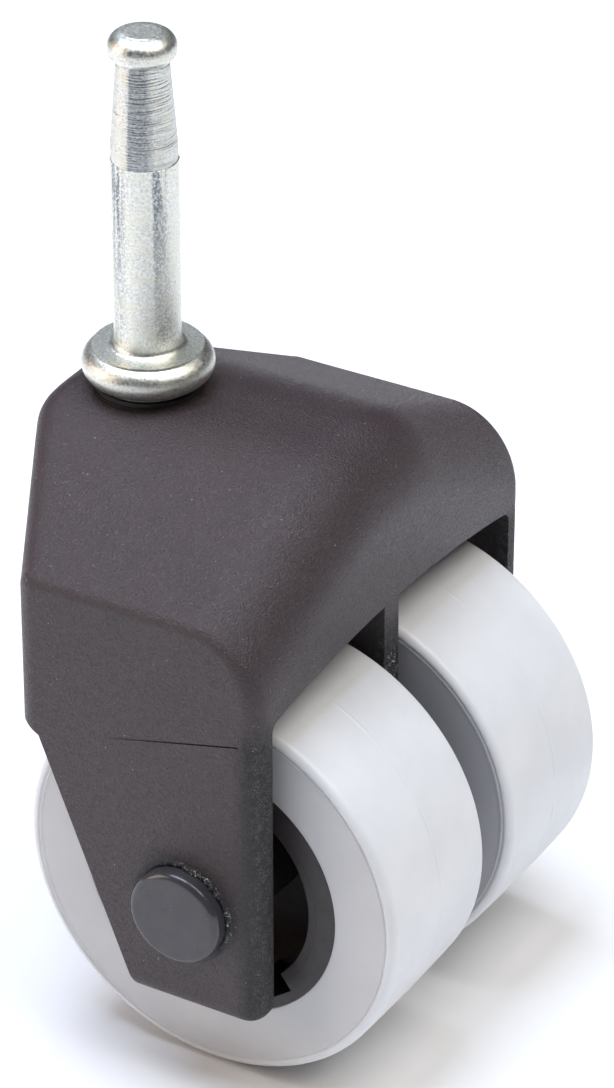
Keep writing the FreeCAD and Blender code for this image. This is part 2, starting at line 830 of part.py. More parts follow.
def make_wheel_bush(name, side):
    """Plain bearing sleeve, pressed in the hub, that turns on the axle."""
    low = "web_thickness / 2 + washer_thickness + 2 * hub_end_gap"
    high = "hood_half_width - wall - washer_thickness - 2 * hub_end_gap"
    bore = "axle_radius + wheel_bush_clearance"
    body = turned(f"wheel_bush_{name}_body", [
        (bore, low),
        ("wheel_bush_radius", low),
        ("wheel_bush_radius", high),
        (bore, high),
    ])
    place_on_axle(body, side)
    keep(f"wheel_bush_{name}", body)


# ---------------------------------------------------------------- check and write

def check_document():
    """Stop if any object failed, or a node's shape is null or not valid."""
    doc.recompute()
    for item in doc.Objects:
        if "Invalid" in item.State or "Error" in item.State:
            raise RuntimeError(f"{item.Name} is {item.State}")
    for node, feature in NODES.items():
        shape = feature.Shape
        if shape.isNull() or not shape.isValid() or len(shape.Solids) < 1:
            raise RuntimeError(f"{node} has no sound shape")
        print(f"{node:24s} {len(shape.Solids)} solid {shape.Volume:10.1f} mm3")


def write_nodes():
    os.makedirs("parts", exist_ok=True)
    for node, feature in NODES.items():
        feature.Shape.exportStep(f"parts/{node}.step")


make_stem()
make_snap_ring()
make_spindle_bush()
make_thrust_washer()
make_hood()
make_axle()
for side_name, side_sign in SIDES.items():
    make_axle_cap(side_name, side_sign)
    make_axle_retainer(side_name, side_sign)
    make_washer(f"leg_washer_{side_name}",
                "hood_half_width - wall - washer_thickness - hub_end_gap", side_sign)
    make_washer(f"web_washer_{side_name}", "web_thickness / 2 + hub_end_gap", side_sign)
    make_tyre(side_name, side_sign)
    make_wheel_core(side_name, side_sign)
    make_hub_cover(side_name, side_sign)
    make_wheel_bush(side_name, side_sign)
check_document()
write_nodes()
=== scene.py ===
"""Looks for the chair caster: turned stem, moulded hood, soft wheels, materials, light and camera.

Sizes named in capitals are in millimetres, in the part's own frame: the origin is in the collar's
top face, +Z runs up the stem, +X points towards the wheels and the axle lies along Y.
"""
import json
import math

import bmesh
import bpy
from mathutils import Matrix, Vector, noise


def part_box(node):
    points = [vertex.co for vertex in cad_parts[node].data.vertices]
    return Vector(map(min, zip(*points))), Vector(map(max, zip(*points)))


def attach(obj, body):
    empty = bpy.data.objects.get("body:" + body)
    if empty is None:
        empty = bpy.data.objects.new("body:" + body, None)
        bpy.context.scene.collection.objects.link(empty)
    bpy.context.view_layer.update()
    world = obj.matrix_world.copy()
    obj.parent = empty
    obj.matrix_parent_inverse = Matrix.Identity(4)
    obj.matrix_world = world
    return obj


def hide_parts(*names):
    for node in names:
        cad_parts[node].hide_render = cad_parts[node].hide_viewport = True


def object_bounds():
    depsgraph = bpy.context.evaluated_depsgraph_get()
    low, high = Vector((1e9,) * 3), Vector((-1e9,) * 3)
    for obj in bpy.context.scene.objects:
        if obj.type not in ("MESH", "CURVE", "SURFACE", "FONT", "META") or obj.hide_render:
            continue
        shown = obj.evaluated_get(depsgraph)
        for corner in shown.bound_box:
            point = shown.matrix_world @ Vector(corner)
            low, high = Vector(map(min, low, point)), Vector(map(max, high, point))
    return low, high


MM = 0.001
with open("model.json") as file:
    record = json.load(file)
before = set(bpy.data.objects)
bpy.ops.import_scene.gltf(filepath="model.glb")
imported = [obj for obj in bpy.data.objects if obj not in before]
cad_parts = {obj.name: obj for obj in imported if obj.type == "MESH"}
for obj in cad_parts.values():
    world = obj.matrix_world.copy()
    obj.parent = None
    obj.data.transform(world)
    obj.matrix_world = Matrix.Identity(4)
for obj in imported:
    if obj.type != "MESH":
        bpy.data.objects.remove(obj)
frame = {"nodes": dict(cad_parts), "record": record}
CAD_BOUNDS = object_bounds()

SIDES = {"left": -1, "right": 1}

# stem
SHANK_RADIUS = 3.97
HEAD_RADIUS = 3.97
CUT_END = 24.0
NECK_TOP = 36.2
STEM_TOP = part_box("stem")[1].z / MM
SPINDLE_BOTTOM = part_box("stem")[0].z / MM
COLLAR_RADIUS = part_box("stem")[1].x / MM
COLLAR_THICKNESS = 4.5

# wheels
AXLE = (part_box("axle")[0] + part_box("axle")[1]) / 2
TREAD_RADIUS = (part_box("tyre_right")[1].x - AXLE.x) / MM
INNER_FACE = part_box("tyre_right")[0].y / MM
OUTER_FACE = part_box("tyre_right")[1].y / MM
TYRE_BORE = 16.83
CREASE_RADIUS = 23.64

# hood
HOOD_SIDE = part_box("hood")[1].y / MM
LEG_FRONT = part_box("hood")[1].x / MM
WEB_FRONT = LEG_FRONT - 0.4
CAP_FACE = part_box("axle_cap_right")[1].y / MM
CAP_RADIUS = (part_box("axle_cap_right")[1].x - AXLE.x) / MM


# ---------------------------------------------------------------- mesh tools

def arc(centre, radius, start, end, steps):
    """Points of an arc in an outline, from the angle start to the angle end, in degrees."""
    points = []
    for step in range(steps + 1):
        angle = math.radians(start + (end - start) * step / steps)
        points.append((centre[0] + radius * math.cos(angle), centre[1] + radius * math.sin(angle)))
    return points


def line(start, end, steps):
    """Points of a straight run in an outline, without its first one."""
    return [
        (
            start[0] + (end[0] - start[0]) * step / steps,
            start[1] + (end[1] - start[1]) * step / steps,
        )
        for step in range(1, steps + 1)
    ]


def mesh_object(name, vertices, faces, material, sharp=35):
    """An object from a mesh given in millimetres, smooth but for its sharp edges."""
    mesh = bpy.data.meshes.new(name)
    mesh.from_pydata([tuple(value * MM for value in vertex) for vertex in vertices], [], faces)
    mesh.validate()
    mesh.shade_smooth()
    mesh.set_sharp_from_angle(angle=math.radians(sharp))
    mesh.materials.append(material)
    thing = bpy.data.objects.new(name, mesh)
    bpy.context.scene.collection.objects.link(thing)
    return thing


def turned(name, outline, place, material, segments=192, lift=None, closed=False, sharp=35):
    """Turn an outline of (radius, height) about an axis.

    place(radius, angle, height) gives the point in the part's frame. lift(radius, height, angle)
    gives how far to move a point out from the axis. A closed outline joins its last point to its
    first, and an open one starts and ends on the axis.
    """
    rings = outline if closed else outline[1:-1]
    vertices = []
    for radius, height in rings:
        for segment in range(segments):
            angle = 2 * math.pi * segment / segments
            out = lift(radius, height, angle) if lift else 0
            vertices.append(place(radius + out, angle, height))
    faces = []
    for row in range(len(rings) if closed else len(rings) - 1):
        below = row * segments
        above = (row + 1) % len(rings) * segments
        for segment in range(segments):
            after = (segment + 1) % segments
            faces.append((below + segment, below + after, above + after, above + segment))
    if not closed:
        for row, end in ((0, outline[0]), (len(rings) - 1, outline[-1])):
            ring = row * segments
            for segment in range(segments):
                faces.append((ring + segment, ring + (segment + 1) % segments, len(vertices)))
            vertices.append(place(0.0, 0.0, end[1]))
    thing = mesh_object(name, vertices, faces, material, sharp)
    face_out(thing)
    return thing


def face_out(thing):
    """Turn every face of a closed mesh outwards."""
    mesh = bmesh.new()
    mesh.from_mesh(thing.data)
    bmesh.ops.recalc_face_normals(mesh, faces=mesh.faces)
    mesh.to_mesh(thing.data)
    mesh.free()


def about_stem(radius, angle, height):
    return (radius * math.cos(angle), radius * math.sin(angle), height)


def about_axle(side):
    """Turn about the axle, with heights measured outwards on the side of the given sign."""
    def place(radius, angle, height):
        return (
            AXLE.x / MM + radius * math.cos(angle),
            side * height,
            AXLE.z / MM + radius * math.sin(angle),
        )
    return place


def rough(point, scale, depth=3):
    """Fractal noise from -1 to 1 at a point in millimetres, with features 1 / scale apart."""
    return noise.fractal(Vector(point) * scale, 1.0, 2.0, depth)


# ---------------------------------------------------------------- materials

class Shader:
    """A node material with one Principled shader, and short calls to add nodes to it."""

    def __init__(self, name, **values):
        self.material = bpy.data.materials.new(name)
        self.material.use_nodes = True
        self.tree = self.material.node_tree
        self.surface = self.tree.nodes["Principled BSDF"]
        for key, value in values.items():
            self.surface.inputs[key.replace("_", " ")].default_value = value
        self.place = self.node("ShaderNodeTexCoord").outputs["Object"]

    def node(self, kind, **settings):
        made = self.tree.nodes.new(kind)
        for key, value in settings.items():
            setattr(made, key, value)
        return made

    def feed(self, socket, value):
        """Set a socket, or link it if the value is another node's output."""
        if isinstance(value, bpy.types.NodeSocket):
            self.tree.links.new(value, socket)
        else:
            socket.default_value = value

    def along(self, axis):
        """The object's coordinate along X, Y or Z, in millimetres."""
        made = self.node("ShaderNodeSeparateXYZ")
        self.feed(made.inputs["Vector"], self.place)
        return self.times(made.outputs[axis], 1 / MM)

    def off_axle(self):
        """How far forward of the axle, above it and out from it a point is, in millimetres."""
        ahead = self.maths("SUBTRACT", self.along("X"), AXLE.x / MM)
        above = self.maths("SUBTRACT", self.along("Z"), AXLE.z / MM)
        square = self.plus(self.times(ahead, ahead), self.times(above, above))
        return ahead, above, self.maths("SQRT", square)

    def stretched(self, scale):
        """The object's coordinates, scaled by three factors."""
        made = self.node("ShaderNodeMapping")
        self.feed(made.inputs["Vector"], self.place)
        made.inputs["Scale"].default_value = scale
        return made.outputs["Vector"]

    def noise(self, size, detail=3.0, roughness=0.55, place=None):
        """Noise whose features are about size millimetres across."""
        made = self.node("ShaderNodeTexNoise")
        self.feed(made.inputs["Vector"], place or self.place)
        made.inputs["Scale"].default_value = 1 / (size * MM)
        made.inputs["Detail"].default_value = detail
        made.inputs["Roughness"].default_value = roughness
        return made.outputs["Fac"]

    def cells(self, size, place=None):
        """Distance from the middle of the nearest of some cells about size millimetres across."""
        made = self.node("ShaderNodeTexVoronoi")
        self.feed(made.inputs["Vector"], place or self.place)
        made.inputs["Scale"].default_value = 1 / (size * MM)
        return made.outputs["Distance"]

    def spread(self, value, low, high, out_low=0.0, out_high=1.0):
        """Map a value from low..high to another range, cut off at its ends."""
        made = self.node("ShaderNodeMapRange")
        for name, number in (
            ("Value", value), ("From Min", low), ("From Max", high),
            ("To Min", out_low), ("To Max", out_high),
        ):
            self.feed(made.inputs[name], number)
        return made.outputs["Result"]

    def maths(self, operation, first, second=0.0):
        """The result of a Math node, from two numbers or outputs."""
        made = self.node("ShaderNodeMath", operation=operation)
        self.feed(made.inputs[0], first)
        self.feed(made.inputs[1], second)
        return made.outputs["Value"]

    def times(self, first, second):
        return self.maths("MULTIPLY", first, second)

    def plus(self, first, second):
        return self.maths("ADD", first, second)

    def larger(self, first, second):
        return self.maths("MAXIMUM", first, second)

    def bands(self, spans):
        """Upright bands round the Z axis, each from its first angle to its last, at its strength.

        A band starts sharply and fades out at its end.
        """
        sharp, soft = 2, 8
        turn = self.maths("ARCTAN2", self.along("Y"), self.along("X"))
        total = 0.0
        for low, high, strength in spans:
            rise = self.spread(turn, math.radians(low - sharp), math.radians(low + sharp))
            fall = self.spread(turn, math.radians(high + soft), math.radians(high - soft), 0.0, strength)
            total = self.larger(total, self.times(rise, fall))
        return total

    def blend(self, share, first, second):
        """A mix of two colours."""
        made = self.node("ShaderNodeMix", data_type="RGBA")
        self.feed(made.inputs["Factor"], share)
        self.feed(made.inputs["A"], first)
        self.feed(made.inputs["B"], second)
        return made.outputs["Result"]

    def paint(self, colour):
        self.feed(self.surface.inputs["Base Color"], colour)

    def gloss(self, value):
        self.feed(self.surface.inputs["Roughness"], value)

    def emboss(self, height, depth, strength=1.0):
        """Bump of the given depth in millimetres, added to any bump made before."""
        made = self.node("ShaderNodeBump")
        made.inputs["Strength"].default_value = strength
        made.inputs["Distance"].default_value = depth * MM
        self.feed(made.inputs["Height"], height)
        normal = self.surface.inputs["Normal"]
        if normal.links:
            self.feed(made.inputs["Normal"], normal.links[0].from_socket)
        self.feed(normal, made.outputs["Normal"])


def colour(red, green, blue):
    return (red, green, blue, 1.0)


def hood_plastic():
    """Black nylon with a fine eroded grain, faint clouding and pale specks.

    The specks are few on the flat faces, and close on the legs' front edges, where the moulding
    was trimmed. Painted shade darkens the plastic in a ring round the caps' upper front side and in a
    band over the legs' rounded front edges.
    """
    shader = Shader("hood_plastic", Specular_IOR_Level=0.72)
    cloud = shader.spread(shader.noise(8.0, 4.0), 0.35, 0.65)
    grain = shader.noise(0.27, 3.0, 0.75)
    base = shader.blend(cloud, colour(0.032, 0.013, 0.016), colour(0.040, 0.018, 0.022))
    pitted = shader.blend(shader.spread(grain, 0.38, 0.58), colour(0.009, 0.004, 0.005), base)
    speck = shader.spread(shader.cells(0.9), 0.10, 0.06)
    rare = shader.spread(shader.noise(1.6, 2.0), 0.58, 0.62)
    on_leg = shader.spread(shader.along("Z"), -26.0, -29.0)
    edge = shader.times(on_leg, shader.spread(shader.along("X"), LEG_FRONT - 1.9, LEG_FRONT - 0.7))
    trimmed = shader.times(edge, shader.spread(shader.noise(0.14, 2.0, 0.7), 0.54, 0.60))
    torn = shader.times(trimmed, shader.spread(shader.noise(0.9, 2.0), 0.36, 0.60))
    # painted shade: darker band on the lower legs, deepest over their rounded front edges
    painted_edge_shade = shader.times(
        on_leg, shader.spread(shader.along("X"), LEG_FRONT - 3.8, LEG_FRONT - 1.6, 0.0, 0.9)
    )
    ahead, above, off_axle = shader.off_axle()
    # painted shadow of each cap: a darker ring round it on its upper front side
    upper_front_side = shader.spread(shader.plus(shader.times(ahead, 0.8), above), 0.5, 6.0, 0.0, 0.85)
    beside_cap = shader.spread(off_axle, CAP_RADIUS + 3.0, CAP_RADIUS + 0.4)
    painted_shade = shader.larger(shader.times(beside_cap, upper_front_side), painted_edge_shade)
    # the painted shade and painted shadow darken the ground colour here
    ground = shader.blend(painted_shade, pitted, colour(0.004, 0.004, 0.005))
    pale = shader.larger(shader.times(speck, rare), shader.times(torn, 0.45))
    shader.paint(shader.blend(pale, ground, colour(0.36, 0.36, 0.36)))
    rougher = shader.times(painted_shade, 0.30)
    shader.gloss(shader.plus(shader.spread(grain, 0.37, 0.61, 0.52, 0.27), rougher))
    shader.emboss(grain, 0.18, 1.0)
    shader.emboss(shader.noise(1.4, 3.0), 0.12, 0.5)
    shader.emboss(torn, 0.10, 0.8)
    return shader.material


def smooth_plastic(name, first, second, low, high):
    """Smooth black nylon, faintly clouded, with hairline rubs."""
    shader = Shader(name)
    cloud = shader.spread(shader.noise(3.0, 4.0), 0.35, 0.65)
    rub = shader.spread(shader.noise(0.5, 2.0, 0.5, shader.stretched((1.0, 1.0, 7.0))), 0.62, 0.76)
    dust = shader.spread(shader.cells(0.8), 0.07, 0.04)
    worn = shader.blend(shader.times(rub, 0.12), shader.blend(cloud, first, second),
                        colour(0.16, 0.16, 0.165))
    shader.paint(shader.blend(shader.times(dust, 0.7), worn, colour(0.30, 0.30, 0.31)))
    shader.gloss(shader.spread(shader.noise(0.8, 3.0), 0.3, 0.7, low, high))
    shader.emboss(shader.noise(0.3, 3.0), 0.02, 0.5)
    return shader.material


def tread_rubber():
    """Pale grey soft plastic, faintly clouded, with a little light in its depth, and painted shade on
    its side faces, darkest on the inner ones.
    """
    shader = Shader("tread_rubber", Subsurface_Weight=0.12, Specular_IOR_Level=0.45)
    shader.surface.inputs["Subsurface Radius"].default_value = (1.0, 0.95, 0.9)
    shader.surface.inputs["Subsurface Scale"].default_value = 1.2 * MM
    cloud = shader.spread(shader.noise(9.0, 3.0), 0.35, 0.65)
    base = shader.blend(cloud, colour(0.74, 0.75, 0.76), colour(0.79, 0.80, 0.805))
    # painted shade: the side faces inside the crease get a darker colour than the tread
    sidewall = shader.spread(shader.off_axle()[2], CREASE_RADIUS, CREASE_RADIUS - 0.1)
    side = shader.blend(cloud, colour(0.61, 0.61, 0.615), colour(0.65, 0.65, 0.65))
    # painted shade: darker still on the inner faces, in the dim gap beside the web
    inner_face_shade = shader.spread(
        shader.maths("ABSOLUTE", shader.along("Y")), INNER_FACE + 0.6, INNER_FACE + 0.3
    )
    side = shader.blend(inner_face_shade, side, colour(0.53, 0.53, 0.555))
    base = shader.blend(sidewall, base, side)
    across_tread = shader.stretched((1.0, 3.0, 1.0))
    scuff = shader.spread(shader.noise(1.4, 4.0, 0.6, across_tread), 0.62, 0.76)
    dirt = shader.spread(shader.cells(1.3), 0.045, 0.02)
    scuffed = shader.blend(shader.times(scuff, 0.10), base, colour(0.42, 0.41, 0.40))
    shader.paint(shader.blend(shader.times(dirt, 0.5), scuffed, colour(0.30, 0.28, 0.27)))
    shader.gloss(shader.spread(shader.noise(1.2, 3.0), 0.3, 0.7, 0.32, 0.46))
    shader.emboss(shader.noise(0.30, 3.0), 0.02, 0.5)
    return shader.material


def zinc():
    """Bright zinc plate with crystals all over and drawn grain on the shank, a little greyer on the
    turned neck, and painted dark reflections in upright bands on the shank and the neck.
    """
    shader = Shader("zinc_steel", Metallic=1.0)
    crystal = shader.noise(0.30, 4.0, 0.7)
    broad = shader.noise(1.6, 3.0, 0.6)
    tone = shader.blend(shader.spread(crystal, 0.36, 0.58), colour(0.54, 0.55, 0.50),
                        colour(0.91, 0.92, 0.87))
    yellowed = shader.spread(broad, 0.46, 0.64, 0.0, 0.65)
    tone = shader.blend(yellowed, tone, colour(0.78, 0.79, 0.65))
    drawn = shader.noise(0.55, 3.0, 0.6, shader.stretched((1.0, 1.0, 0.07)))
    height = shader.along("Z")
    below_neck = shader.spread(height, CUT_END + 0.03, CUT_END - 0.03)
    on_shank = shader.times(below_neck, shader.spread(height, 0.8, 2.5))
    on_neck = shader.times(
        shader.spread(height, CUT_END - 0.03, CUT_END + 0.03),
        shader.spread(height, NECK_TOP + 0.4, NECK_TOP),
    )
    tone = shader.blend(shader.times(on_neck, 0.25), tone, colour(0.52, 0.54, 0.55))
    # painted reflections: dark upright bands on the shank, mottled, fading lower down
    shank_reflection_bands = shader.bands(((-45, -22, 1.0), (-128, -98, 1.0), (58, 84, 0.8), (140, 168, 0.7)))
    paler_low = shader.spread(height, 8.0, 19.0, 0.40, 1.0)
    # painted reflections: dark upright bands on the neck
    neck_reflection_bands = shader.bands(((-88, -46, 1.0), (25, 62, 0.8), (135, 178, 0.7)))
    mottled = shader.times(shader.spread(drawn, 0.34, 0.50), shader.spread(crystal, 0.66, 0.46))
    shank_reflections = shader.times(shader.times(shank_reflection_bands, on_shank), shader.times(mottled, paler_low))
    uneven = shader.spread(crystal, 0.70, 0.40, 0.3, 0.8)
    darkened = shader.times(shader.times(neck_reflection_bands, on_neck), uneven)
    # the painted reflections darken the plate to a dark bluish grey
    shader.paint(shader.blend(shader.larger(shank_reflections, darkened), tone, colour(0.18, 0.21, 0.24)))
    shader.gloss(shader.spread(crystal, 0.3, 0.7, 0.28, 0.48))
    shader.emboss(crystal, 0.07, 0.7)
    shader.emboss(shader.times(drawn, on_shank), 0.06, 0.5)
    return shader.material


def plain_steel(name, tone, low, high):
    """Steel with drawn or stamped grain, and a film of oil in places."""
    shader = Shader(name, Metallic=1.0)
    grain = shader.noise(0.5, 4.0, 0.6, shader.stretched((6.0, 0.6, 6.0)))
    film = shader.spread(shader.noise(2.0, 3.0), 0.4, 0.65)
    darkened = colour(tone * 0.6, tone * 0.58, tone * 0.55)
    shader.paint(shader.blend(film, colour(tone, tone, tone), darkened))
    shader.gloss(shader.spread(grain, 0.3, 0.7, low, high))
    shader.emboss(grain, 0.01, 0.5)
    return shader.material


def torn_plastic():
    """Crushed and torn nylon, with pale flecks on its upper front side, where it was strained."""
    shader = Shader("torn_plastic", Roughness=0.38)
    grain = shader.noise(0.22, 4.0, 0.8)
    ahead, above, _ = shader.off_axle()
    upper_front_side = shader.spread(
        shader.plus(shader.times(ahead, 0.8), shader.times(above, 0.6)), 2.8, 5.2
    )
    patch = shader.spread(shader.noise(0.8, 2.0), 0.42, 0.56)
    fleck = shader.times(shader.spread(grain, 0.55, 0.62), shader.times(upper_front_side, patch))
    shader.paint(shader.blend(fleck, colour(0.011, 0.010, 0.011), colour(0.80, 0.79, 0.76)))
    shader.emboss(grain, 0.12, 1.0)
    return shader.material


MATERIALS = {
    "hood_plastic": hood_plastic(),
    "cap_plastic": smooth_plastic("cap_plastic", colour(0.044, 0.044, 0.049),
                                  colour(0.056, 0.055, 0.061), 0.13, 0.22),
    "core_plastic": smooth_plastic("core_plastic", colour(0.032, 0.026, 0.027),
                                   colour(0.044, 0.037, 0.038), 0.42, 0.55),
    "bearing_plastic": smooth_plastic("bearing_plastic", colour(0.02, 0.02, 0.02),
                                      colour(0.03, 0.03, 0.03), 0.30, 0.42),
    "tread_rubber": tread_rubber(),
    "zinc_steel": zinc(),
    "spring_steel": plain_steel("spring_steel", 0.40, 0.32, 0.5),
    "axle_steel": plain_steel("axle_steel", 0.58, 0.22, 0.36),
}
TORN = torn_plastic()


def dress_cad_nodes():
    """Give each carried-over CAD node the material of its slot."""
    slots = {part["node"]: part["material_slot"] for part in frame["record"]["subparts"]}
    for name, thing in frame["nodes"].items():
        thing.data.materials.clear()
        thing.data.materials.append(MATERIALS[slots[name]])


# ---------------------------------------------------------------- stem

def make_stem():
    """Turned and plated stem, with its collar and the spindle below it."""
    neck_bottom = 25.9
    neck_radius = 3.1
    turned_radius = SHANK_RADIUS - 0.05
    chamfer = 0.6
    groove_radius, groove_low, groove_high = 3.3, -26.3, -25.2
    bull_centre = (5.75, -COLLAR_THICKNESS / 2)
    bull_radius = COLLAR_RADIUS - bull_centre[0]
    collar_flat = 6.6
    root = 0.85
    head_flat = 2.2
    outline = [(0.0, SPINDLE_BOTTOM), (SHANK_RADIUS - chamfer, SPINDLE_BOTTOM)]
    outline += [(SHANK_RADIUS, SPINDLE_BOTTOM + chamfer), (SHANK_RADIUS, groove_low)]
    outline += [(groove_radius, groove_low), (groove_radius, groove_high)]
    outline += [(SHANK_RADIUS, groove_high)]
    outline += line((SHANK_RADIUS, groove_high), (SHANK_RADIUS, -COLLAR_THICKNESS), 20)
    flat = math.degrees(math.acos((6.95 - bull_centre[0]) / bull_radius))
    outline += [(6.2, -COLLAR_THICKNESS + 0.02)]
    outline += arc(bull_centre, bull_radius, -82, flat + 20, 40)
    outline += line(outline[-1], (collar_flat, -0.03), 3)
    outline += line((collar_flat, -0.03), (SHANK_RADIUS + root, 0.0), 10)
    outline += arc((SHANK_RADIUS + root, root), root, 270, 180, 12)[1:]
    outline += line((SHANK_RADIUS, root), (SHANK_RADIUS, CUT_END - 0.04), 70)
    outline += [(turned_radius, CUT_END)]
    outline += line((turned_radius, CUT_END), (turned_radius, neck_bottom), 38)
    outline += line((turned_radius, neck_bottom), (neck_radius, NECK_TOP), 210)
    outline += [(neck_radius + 0.06, NECK_TOP + 0.16), (neck_radius + 0.24, NECK_TOP + 0.26)]
    outline += arc((HEAD_RADIUS - 0.83, 37.38), 0.80, -62, 0, 12)
    outline += line(outline[-1], (HEAD_RADIUS - 0.04, 38.0), 4)
    outline += arc((2.26, 37.98), 1.75, 0, 83, 26)[1:]
    outline += line(outline[-1], (head_flat, STEM_TOP), 2)
    outline += line((head_flat, STEM_TOP), (0.0, STEM_TOP), 10)

    def tool_marks(radius, height, angle):
        """Ridges left round the neck by the turning tool, and uneven plating on the rest."""
        across = math.cos(angle)
        ahead = math.sin(angle)
        if height < CUT_END or height > NECK_TOP or radius < neck_radius - 0.01:
            skin = 0.012 * rough((across * 4, ahead * 4, height), 1.1)
            off_nick = ((angle - 0.58) / 0.05) ** 2 + ((height - CUT_END) / 0.25) ** 2
            nick = 0.13 * math.exp(-off_nick)
            return skin + nick if radius > SHANK_RADIUS - 0.2 and height > -COLLAR_THICKNESS else 0
        drift = 0.16 * noise.noise(Vector((across * 1.3 + 3.1, ahead * 1.3, height * 0.4)))
        coarse = noise.noise(Vector((0.37, 7.61, (height + drift) * 2.3)))
        fine = noise.noise(Vector((across * 0.8, ahead * 0.8 + 4.4, (height + drift) * 7.3)))
        patch = 0.75 + 0.6 * noise.noise(Vector((across * 1.7, ahead * 1.7, height * 0.9)))
        tear = rough((across * 3.0, ahead * 3.0, height * 3.5), 1.3)
        return max(0.25, patch) * (0.026 * coarse + 0.052 * fine + 0.014 * tear) - 0.045

    stem = turned("stem_turned", outline, about_stem, MATERIALS["zinc_steel"], 168, tool_marks)
    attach(stem, "stem")
    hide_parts("stem")


# ---------------------------------------------------------------- hood

def make_gate_scar():
    """Torn patch on the centre web's front edge, where the moulding's gate was broken off."""
    low, high, half_width = -36.6, -31.6, 1.5
    depth = 0.15
    rows, columns = 40, 26
    vertices = []
    for row in range(rows + 1):
        height = low + (high - low) * row / rows
        for column in range(columns + 1):
            across = half_width * (2 * column / columns - 1)
            from_side = half_width - abs(across)
            from_end = min(height - low, high - height) - 0.5 * abs(rough((across, height, 3), 0.8))
            share = max(0.0, min(1.0, from_side / 0.35, from_end / 0.6))
            crust = 0.22 + 0.30 * rough((across, height, 7), 2.4, 4)
            vertices.append((WEB_FRONT - 0.03 + share * max(0.0, crust), across, height))
    width = columns + 1
    faces = [
        (first, first + 1, first + width + 1, first + width)
        for row in range(rows)
        for first in range(row * width, row * width + columns)
    ]
    back = len(vertices)
    vertices += [(WEB_FRONT - depth, y, z) for x, y, z in vertices]
    faces += [tuple(corner + back for corner in reversed(face)) for face in faces]
    rim = list(range(columns))
    rim += [row * width + columns for row in range(rows)]
    rim += [rows * width + column for column in range(columns, 0, -1)]
    rim += [row * width for row in range(rows, 0, -1)]
    for first, second in zip(rim, rim[1:] + rim[:1]):
        faces.append((first, second, second + back, first + back))
    scar = mesh_object("web_gate_scar", vertices, faces, TORN, 60)
    face_out(scar)
    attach(scar, "hood")


def make_seat_burr(name, side):
    """Ragged burr that the cap's edge pushed up in the leg's face."""
    foot = HOOD_SIDE - 0.1
    outline = [(CAP_RADIUS - 0.2, foot), (CAP_RADIUS - 0.1, HOOD_SIDE + 0.03)]
    outline += [(CAP_RADIUS + 0.12, HOOD_SIDE + 0.24), (CAP_RADIUS + 0.26, HOOD_SIDE + 0.26)]
    outline += [(CAP_RADIUS + 0.42, HOOD_SIDE + 0.16), (CAP_RADIUS + 0.60, HOOD_SIDE + 0.06)]
    outline += [(CAP_RADIUS + 0.78, HOOD_SIDE + 0.01), (CAP_RADIUS + 0.85, foot)]
    on_axle = about_axle(side)

    def ragged(radius, angle, height):
        """Uneven crest: high and torn over the upper front, nearly gone elsewhere."""
        share = 0.08 + 0.92 * max(0.0, math.cos(angle - math.radians(54))) ** 2
        crest = share * (1.0 + 1.5 * rough((math.cos(angle) * 6, math.sin(angle) * 6, radius * 2), 1.6))
        above = max(0.0, height - HOOD_SIDE)
        return on_axle(radius, angle, min(height, HOOD_SIDE) + above * max(0.0, crest))

    burr = turned(f"cap_seat_burr_{name}", outline, ragged, TORN, 420, closed=True, sharp=60)
    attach(burr, "hood")


# ---------------------------------------------------------------- wheels

def make_tyre(name, side):
    """Soft tread: crowned face with a faint parting line, round shoulders, a bead and a groove."""
    middle = (INNER_FACE + OUTER_FACE) / 2
    crown = TREAD_RADIUS - 0.04
    edge = 24.84
    crease = CREASE_RADIUS
    half = (OUTER_FACE - INNER_FACE) / 2
    shoulder = 1.1
    rib = ((TYRE_BORE, 2.6), (19.2, 1.9), (19.2, -1.9), (TYRE_BORE, -2.6))

    def half_outline():
        """From the tread's middle to the bore, on the outer side."""
        points = [(crown + 0.035, 0.0), (crown + 0.03, 0.04), (crown, 0.08)]
        reach = half - shoulder
        for step in range(1, 25):
            share = step / 24
            points.append((crown + (edge - crown) * share ** 2, 0.08 + (reach - 0.08) * share))
        points += arc((edge - shoulder, reach), shoulder, 0, 78, 14)[1:]
        points += [(crease + 0.10, half - 0.07), (crease + 0.04, half - 0.16)]
        points += [(crease - 0.04, half - 0.17), (crease - 0.10, half - 0.08)]
        points += [(crease - 0.16, half - 0.01), (crease - 0.30, half), (crease - 0.42, half - 0.05)]
        points += line((crease - 0.42, half - 0.05), (TYRE_BORE + 0.25, half - 0.05), 16)
        points += [(TYRE_BORE + 0.08, half - 0.09), (TYRE_BORE, half - 0.25)]
        return points

    outer = half_outline()
    outline = [(radius, middle + height) for radius, height in outer]
    outline += [(radius, middle + height) for radius, height in rib]
    outline += [(radius, middle - height) for radius, height in reversed(outer[1:])]

    def uneven(radius, height, angle):
        """The parting line comes and goes, and the tread is a little wavy."""
        if radius < crown - 0.2:
            return 0
        around = (math.cos(angle) * 3, math.sin(angle) * 3, side * 5.0)
        if abs(height - middle) < 0.07:
            return -0.035 * min(1.0, max(0.0, 0.5 + 1.4 * noise.noise(Vector(around) * 2.3)))
        return -0.012 * abs(noise.noise(Vector((around[0], around[1], height * 0.3))))

    tyre = turned(f"tyre_{name}_moulded", outline, about_axle(side), MATERIALS["tread_rubber"],
                  256, uneven, closed=True, sharp=50)
    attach(tyre, f"wheel_{name}")
    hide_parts(f"tyre_{name}")


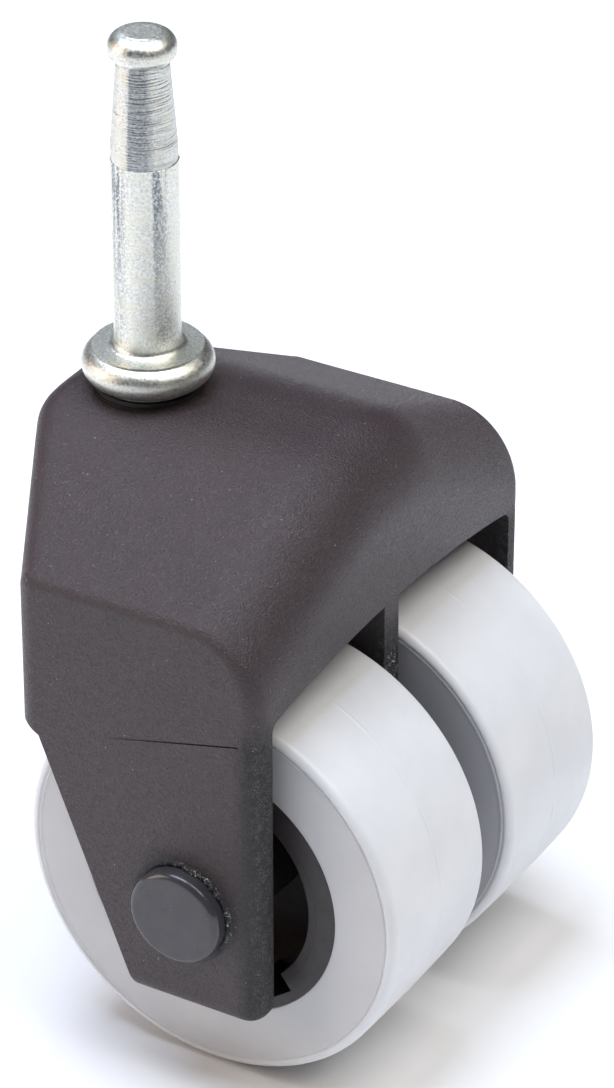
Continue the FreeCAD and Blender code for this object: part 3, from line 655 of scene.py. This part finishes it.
def make_axle_cap(name, side):
    """Smooth cap over the axle's end, very slightly crowned, with a rolled rim."""
    rim = 0.9
    foot = HOOD_SIDE + 0.02
    outline = [(0.0, CAP_FACE - 0.95), (4.4, CAP_FACE - 0.95), (4.4, foot - 0.7)]
    outline += [(5.2, foot - 0.7), (5.2, foot), (CAP_RADIUS - 0.15, foot)]
    outline += [(CAP_RADIUS - 0.05, foot + 0.08), (CAP_RADIUS, foot + 0.25)]
    outline += arc((CAP_RADIUS - rim, CAP_FACE - 0.06 - rim), rim, 0, 86, 12)
    outline += line(outline[-1], (CAP_RADIUS - rim - 0.25, CAP_FACE - 0.05), 2)
    outline += line(outline[-1], (0.0, CAP_FACE), 12)
    cap = turned(f"axle_cap_{name}_moulded", outline, about_axle(side), MATERIALS["cap_plastic"],
                 160, sharp=40)
    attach(cap, "hood")
    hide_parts(f"axle_cap_{name}")


# ---------------------------------------------------------------- stage, light, camera

def make_floor():
    """Plain pale floor under the wheels."""
    level = CAD_BOUNDS[0][2] / MM - 0.01
    half = 4000
    shader = Shader("floor", Roughness=0.9)
    shader.paint(shader.blend(shader.noise(60.0, 2.0), colour(0.93, 0.93, 0.93),
                              colour(0.95, 0.95, 0.95)))
    floor = mesh_object("floor", [(-half, -half, level), (half, -half, level),
                                  (half, half, level), (-half, half, level)],
                        [(0, 1, 2, 3)], shader.material)


def softbox(name, place, size, power, tint):
    """Rectangular light at a place in metres, turned to face the caster."""
    data = bpy.data.lights.new(name, "AREA")
    data.shape = "RECTANGLE"
    data.size, data.size_y = size
    data.energy = power
    data.color = tint
    lamp = bpy.data.objects.new(name, data)
    lamp.location = place
    aim = Vector((0.01, 0.0, -0.02)) - Vector(place)
    lamp.rotation_euler = aim.to_track_quat("-Z", "Y").to_euler()
    bpy.context.scene.collection.objects.link(lamp)


def make_light():
    world = bpy.data.worlds.new("studio")
    bpy.context.scene.world = world
    world.use_nodes = True
    background = world.node_tree.nodes["Background"]
    background.inputs["Color"].default_value = (0.92, 0.95, 1.0, 1.0)
    background.inputs["Strength"].default_value = 0.05
    softbox("overhead", (-0.19, -0.02, 0.87), (0.6, 0.6), 10.6, (0.76, 0.84, 1.0))
    softbox("over_right", (0.45, 0.05, 0.80), (0.6, 0.6), 5.5, (1.0, 0.96, 0.92))
    softbox("left_side", (-0.75, -0.50, 0.28), (0.5, 0.6), 3.5, (1.0, 0.82, 0.70))
    softbox("back_left", (-0.55, 0.65, 0.50), (0.6, 0.6), 0.35, (0.90, 0.95, 1.0))


def make_camera():
    """Long lens, on the caster's right-hand front quarter and above it."""
    azimuth = math.radians(30.667)
    elevation = math.radians(30.727)
    roll = math.radians(-0.0794)
    data = bpy.data.cameras.new("camera")
    data.lens = 169.26
    data.sensor_width = 36
    camera = bpy.data.objects.new("camera", data)
    ahead = Vector((
        -math.sin(azimuth) * math.cos(elevation),
        math.cos(azimuth) * math.cos(elevation),
        -math.sin(elevation),
    ))
    right = Vector((math.cos(azimuth), math.sin(azimuth), 0))
    up = right.cross(ahead)
    across = right * math.cos(roll) + up * math.sin(roll)
    above = up * math.cos(roll) - right * math.sin(roll)
    turn = Matrix((across, above, -ahead)).transposed()
    camera.matrix_world = Matrix.Translation((0.28295, -0.44095, 0.28393)) @ turn.to_4x4()
    bpy.context.scene.collection.objects.link(camera)
    bpy.context.scene.camera = camera


dress_cad_nodes()
make_stem()
make_gate_scar()
for side_name, side_sign in SIDES.items():
    make_tyre(side_name, side_sign)
    make_axle_cap(side_name, side_sign)
    make_seat_burr(side_name, side_sign)
make_floor()
make_light()
make_camera()
bpy.context.scene.view_settings.view_transform = "Standard"
